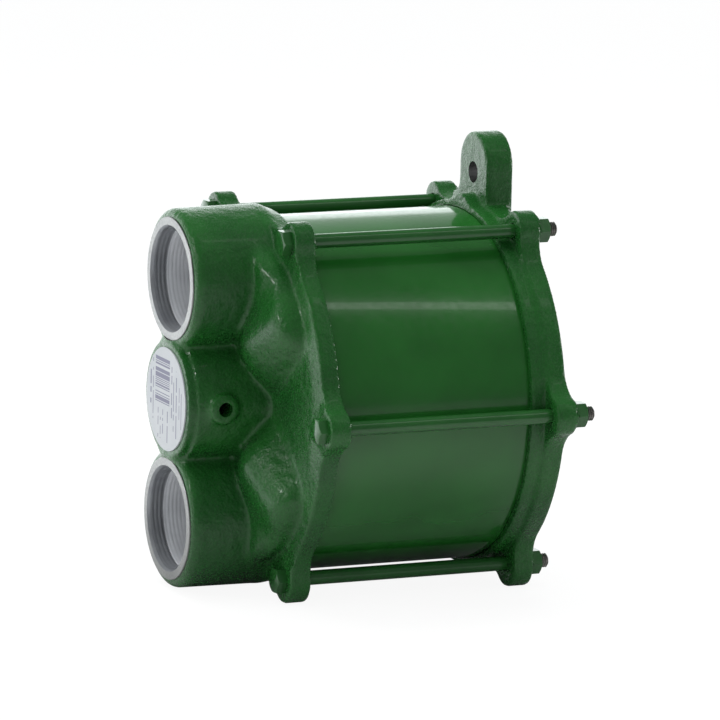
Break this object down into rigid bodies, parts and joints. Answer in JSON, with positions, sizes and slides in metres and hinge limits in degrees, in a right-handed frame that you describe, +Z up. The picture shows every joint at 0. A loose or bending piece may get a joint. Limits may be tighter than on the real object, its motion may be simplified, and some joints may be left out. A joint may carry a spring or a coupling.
{
  "type": "self-priming tractor pump",
  "caption": "Self-priming pump for a tractor power take-off: lobed cast covers tied over a round steel casing, threaded ports in front, torque lug, splined hub and planetary step-up gear.",
  "frame": {"origin": "on the pump axis, at the mouth of the splined drive hub", "axes": "+Y runs along the pump axis out of the drive hub, towards the tractor; the two ports look along -Y; +Z is up, towards the torque lug; +X is the third axis"},
  "size_m": [0.2366, 0.2212, 0.2458],
  "materials": {
    "green_paint": "glossy enamel over cast iron",
    "green_tube": "smooth glossy enamel on rolled steel",
    "bright_steel": "machined or zinc plated steel",
    "bearing_steel": "ground and polished bearing steel",
    "cast_iron": "bare cast iron",
    "bronze": "bearing bronze",
    "copper_washer": "soft copper",
    "seal_rubber": "nitrile rubber",
    "carbon": "pressed carbon",
    "ceramic": "fired ceramic",
    "gasket_paper": "sealing paper",
    "label": "pale printed film, left without words"
  },
  "bodies": {
    "casing": {"front_cover": "green_paint", "rear_cover": "green_paint", "casing_tube": "green_tube", "label_disc": "label", "front_tube_seal": "seal_rubber", "rear_tube_seal": "seal_rubber", "tie_bolts": "green_paint", "tie_bolt_washers": "green_paint", "tie_bolt_nuts": "green_paint", "oil_plugs": "bright_steel", "oil_plug_washers": "copper_washer", "wear_ring": "bronze", "diffuser": "cast_iron", "diffuser_screws": "bright_steel", "seal_seat": "ceramic", "shaft_oil_seal": "seal_rubber", "gear_case_plate": "cast_iron", "gear_case_gasket": "gasket_paper", "gear_case_screws": "bright_steel", "shaft_bearing_outer": "bearing_steel", "ring_gear": "bright_steel", "hub_bearing_spacer": "bright_steel", "hub_bearing_front_outer": "bearing_steel", "hub_bearing_rear_outer": "bearing_steel", "hub_oil_seal": "seal_rubber"},
    "input_hub": {"drive_hub": "bright_steel", "carrier_plate": "bright_steel", "carrier_screws": "bright_steel", "planet_pins": "bright_steel", "pilot_bush": "bronze", "hub_clip": "bright_steel", "hub_bearing_front_inner": "bearing_steel", "hub_bearing_front_rollers": "bearing_steel", "hub_bearing_rear_inner": "bearing_steel", "hub_bearing_rear_rollers": "bearing_steel"},
    "impeller_shaft": {"pump_shaft": "bright_steel", "impeller": "cast_iron", "impeller_key": "bright_steel", "impeller_washer": "bright_steel", "impeller_nut": "bright_steel", "seal_bellows": "seal_rubber", "seal_face": "carbon", "shaft_clip": "bright_steel", "shaft_bearing_inner": "bearing_steel", "shaft_bearing_balls": "bearing_steel"},
    "planet_1": {"planet_gear_1": "bright_steel", "planet_bush_1": "bronze"},
    "planet_2": {"planet_gear_2": "bright_steel", "planet_bush_2": "bronze"},
    "planet_3": {"planet_gear_3": "bright_steel", "planet_bush_3": "bronze"}
  },
  "joints": [
    {"name": "input_spin", "type": "hinge", "parent": "casing", "child": "input_hub", "pos_m": [0, 0, 0], "axis": [0, 1, 0], "continuous": true},
    {"name": "impeller_spin", "type": "hinge", "parent": "casing", "child": "impeller_shaft", "pos_m": [0, -0.1, 0], "axis": [0, 1, 0], "continuous": true},
    {"name": "planet_1_spin", "type": "hinge", "parent": "input_hub", "child": "planet_1", "pos_m": [0, -0.067, 0.036], "axis": [0, 1, 0], "continuous": true},
    {"name": "planet_2_spin", "type": "hinge", "parent": "input_hub", "child": "planet_2", "pos_m": [-0.03118, -0.067, -0.018], "axis": [0, 1, 0], "continuous": true},
    {"name": "planet_3_spin", "type": "hinge", "parent": "input_hub", "child": "planet_3", "pos_m": [0.03118, -0.067, -0.018], "axis": [0, 1, 0], "continuous": true}
  ],
  "couplings": [
    {"joint": "impeller_spin", "follows": "input_spin", "ratio": 6},
    {"joint": "planet_1_spin", "follows": "input_spin", "ratio": -2.5},
    {"joint": "planet_2_spin", "follows": "input_spin", "ratio": -2.5},
    {"joint": "planet_3_spin", "follows": "input_spin", "ratio": -2.5}
  ]
}
